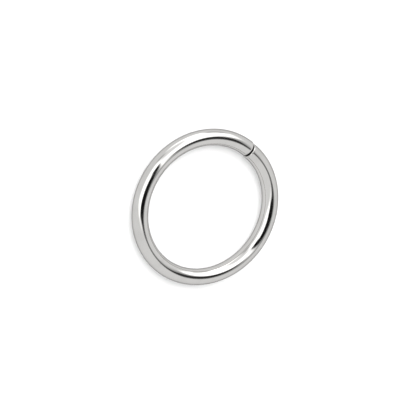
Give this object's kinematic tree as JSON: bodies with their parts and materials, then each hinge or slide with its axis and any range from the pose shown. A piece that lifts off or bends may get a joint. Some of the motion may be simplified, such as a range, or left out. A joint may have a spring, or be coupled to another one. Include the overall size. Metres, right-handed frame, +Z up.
{
  "type": "seamless nose ring",
  "caption": "Plain seamless hoop nose ring of polished round steel wire, bent into a circle until its ends meet in a butt seam.",
  "frame": {"origin": "on the surface that the ring lies on, under the middle of its hole", "axes": "+Z up along the ring's axis, -X from the middle of the hole towards the seam"},
  "size_m": [0.01, 0.01, 0.001],
  "materials": {
    "polished_steel": "mirror-polished surgical steel"
  },
  "bodies": {
    "root": {"wire_ring": "polished_steel"}
  },
  "joints": []
}
